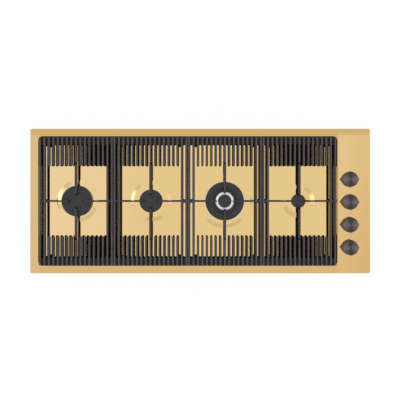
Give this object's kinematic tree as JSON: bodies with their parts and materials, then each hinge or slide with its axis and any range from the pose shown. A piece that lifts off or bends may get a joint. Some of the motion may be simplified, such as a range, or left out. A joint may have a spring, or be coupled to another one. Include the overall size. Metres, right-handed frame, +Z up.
{
  "type": "gas cooktop",
  "caption": "Wide built-in gas cooktop with a brushed gold-coloured steel top, burners in a row under comb-shaped cast grates, and push-and-turn knobs at the right.",
  "frame": {"origin": "under the middle of the top plate's outline, at the height of the bottom pan's underside", "axes": "+X to the cook's right (control strip), +Y to the rear wall, +Z up"},
  "size_m": [1.2, 0.51, 0.092],
  "materials": {
    "gold_steel": "gold-coloured PVD coat on brushed stainless steel",
    "galvanised_steel": "zinc-coated sheet",
    "seal_foam": "soft foam strip",
    "bare_steel": "zinc-plated steel",
    "brass": "machined brass",
    "copper": "drawn copper tube",
    "dark_plastic": "moulded",
    "light_plastic": "moulded",
    "black_metal": "black anodised with a spun top",
    "cast_aluminium": "die-cast, bead-blasted",
    "black_enamel": "matt black enamel on pressed steel",
    "white_ceramic": "glazed",
    "cast_iron": "matt black enamelled casting"
  },
  "bodies": {
    "hob": {"top_plate": "gold_steel", "bottom_pan": "galvanised_steel", "worktop_seal": "seal_foam", "gas_rail": "bare_steel", "gas_inlet_elbow": "brass", "tap_bracket": "galvanised_steel", "ignition_switch_strip": "dark_plastic", "spark_generator": "light_plastic", "terminal_box": "light_plastic", "cable_gland": "dark_plastic", "fixing_clamp_1": "bare_steel", "fixing_clamp_2": "bare_steel", "fixing_clamp_3": "bare_steel", "fixing_clamp_4": "bare_steel", "tap_body_1": "brass", "tap_body_2": "brass", "tap_body_3": "brass", "tap_body_4": "brass", "gas_tube_1": "copper", "gas_tube_2": "copper", "gas_tube_3": "copper", "gas_tube_4": "copper", "burner_cup_1": "cast_aluminium", "burner_cup_2": "cast_aluminium", "burner_cup_3": "cast_aluminium", "burner_cup_4": "cast_aluminium", "spark_electrode_1": "white_ceramic", "spark_electrode_2": "white_ceramic", "spark_electrode_3": "white_ceramic", "spark_electrode_4": "white_ceramic", "thermocouple_1": "copper", "thermocouple_2": "copper", "thermocouple_3": "copper", "thermocouple_4": "copper"},
    "tap_1": {"tap_plug_1": "brass"},
    "knob_1": {"tap_spindle_1": "bare_steel", "knob_1": "black_metal"},
    "tap_2": {"tap_plug_2": "brass"},
    "knob_2": {"tap_spindle_2": "bare_steel", "knob_2": "black_metal"},
    "tap_3": {"tap_plug_3": "brass"},
    "knob_3": {"tap_spindle_3": "bare_steel", "knob_3": "black_metal"},
    "tap_4": {"tap_plug_4": "brass"},
    "knob_4": {"tap_spindle_4": "bare_steel", "knob_4": "black_metal"},
    "crown_1": {"flame_crown_1": "cast_aluminium"},
    "cap_1": {"burner_cap_1": "black_enamel"},
    "crown_2": {"flame_crown_2": "cast_aluminium"},
    "cap_2": {"burner_cap_2": "black_enamel"},
    "crown_3": {"flame_crown_3": "cast_aluminium"},
    "cap_3": {"burner_cap_3": "black_enamel"},
    "crown_4": {"flame_crown_4": "cast_aluminium"},
    "cap_4": {"burner_cap_4": "black_enamel"},
    "inner_crown_3": {"inner_flame_crown_3": "cast_aluminium"},
    "centre_cap_3": {"centre_cap_3": "black_enamel"},
    "grate_1": {"grate_1": "cast_iron"},
    "grate_2": {"grate_2": "cast_iron"},
    "grate_3": {"grate_3": "cast_iron"},
    "grate_4": {"grate_4": "cast_iron"}
  },
  "joints": [
    {"name": "knob_1_turn", "type": "hinge", "parent": "hob", "child": "tap_1", "pos_m": [0.528, 0.0767, 0.03], "axis": [0, 0, 1], "range_deg": [0, 210]},
    {"name": "knob_1_press", "type": "slide", "parent": "tap_1", "child": "knob_1", "axis": [0, 0, -1], "range_m": [0, 0.004], "stiffness_N_per_m": 1000, "springref_m": -0.007},
    {"name": "knob_2_turn", "type": "hinge", "parent": "hob", "child": "tap_2", "pos_m": [0.528, -0.0033, 0.03], "axis": [0, 0, 1], "range_deg": [0, 210]},
    {"name": "knob_2_press", "type": "slide", "parent": "tap_2", "child": "knob_2", "axis": [0, 0, -1], "range_m": [0, 0.004], "stiffness_N_per_m": 1000, "springref_m": -0.007},
    {"name": "knob_3_turn", "type": "hinge", "parent": "hob", "child": "tap_3", "pos_m": [0.528, -0.0833, 0.03], "axis": [0, 0, 1], "range_deg": [0, 210]},
    {"name": "knob_3_press", "type": "slide", "parent": "tap_3", "child": "knob_3", "axis": [0, 0, -1], "range_m": [0, 0.004], "stiffness_N_per_m": 1000, "springref_m": -0.007},
    {"name": "knob_4_turn", "type": "hinge", "parent": "hob", "child": "tap_4", "pos_m": [0.528, -0.1633, 0.03], "axis": [0, 0, 1], "range_deg": [0, 210]},
    {"name": "knob_4_press", "type": "slide", "parent": "tap_4", "child": "knob_4", "axis": [0, 0, -1], "range_m": [0, 0.004], "stiffness_N_per_m": 1000, "springref_m": -0.007},
    {"name": "crown_1_lift", "type": "slide", "parent": "hob", "child": "crown_1", "axis": [0, 0, 1], "range_m": [0, 0.0045]},
    {"name": "cap_1_lift", "type": "slide", "parent": "crown_1", "child": "cap_1", "axis": [0, 0, 1], "range_m": [0, 0.0045]},
    {"name": "crown_2_lift", "type": "slide", "parent": "hob", "child": "crown_2", "axis": [0, 0, 1], "range_m": [0, 0.0045]},
    {"name": "cap_2_lift", "type": "slide", "parent": "crown_2", "child": "cap_2", "axis": [0, 0, 1], "range_m": [0, 0.0045]},
    {"name": "crown_3_lift", "type": "slide", "parent": "hob", "child": "crown_3", "axis": [0, 0, 1], "range_m": [0, 0.0045]},
    {"name": "cap_3_lift", "type": "slide", "parent": "crown_3", "child": "cap_3", "axis": [0, 0, 1], "range_m": [0, 0.0045]},
    {"name": "crown_4_lift", "type": "slide", "parent": "hob", "child": "crown_4", "axis": [0, 0, 1], "range_m": [0, 0.0045]},
    {"name": "cap_4_lift", "type": "slide", "parent": "crown_4", "child": "cap_4", "axis": [0, 0, 1], "range_m": [0, 0.0045]},
    {"name": "inner_crown_3_lift", "type": "slide", "parent": "crown_3", "child": "inner_crown_3", "axis": [0, 0, 1], "range_m": [0, 0.006]},
    {"name": "centre_cap_3_lift", "type": "slide", "parent": "inner_crown_3", "child": "centre_cap_3", "axis": [0, 0, 1], "range_m": [0, 0.006]},
    {"name": "grate_1_lift", "type": "slide", "parent": "hob", "child": "grate_1", "axis": [0, 0, 1], "range_m": [0, 0.08]},
    {"name": "grate_2_lift", "type": "slide", "parent": "hob", "child": "grate_2", "axis": [0, 0, 1], "range_m": [0, 0.08]},
    {"name": "grate_3_lift", "type": "slide", "parent": "hob", "child": "grate_3", "axis": [0, 0, 1], "range_m": [0, 0.08]},
    {"name": "grate_4_lift", "type": "slide", "parent": "hob", "child": "grate_4", "axis": [0, 0, 1], "range_m": [0, 0.08]}
  ]
}
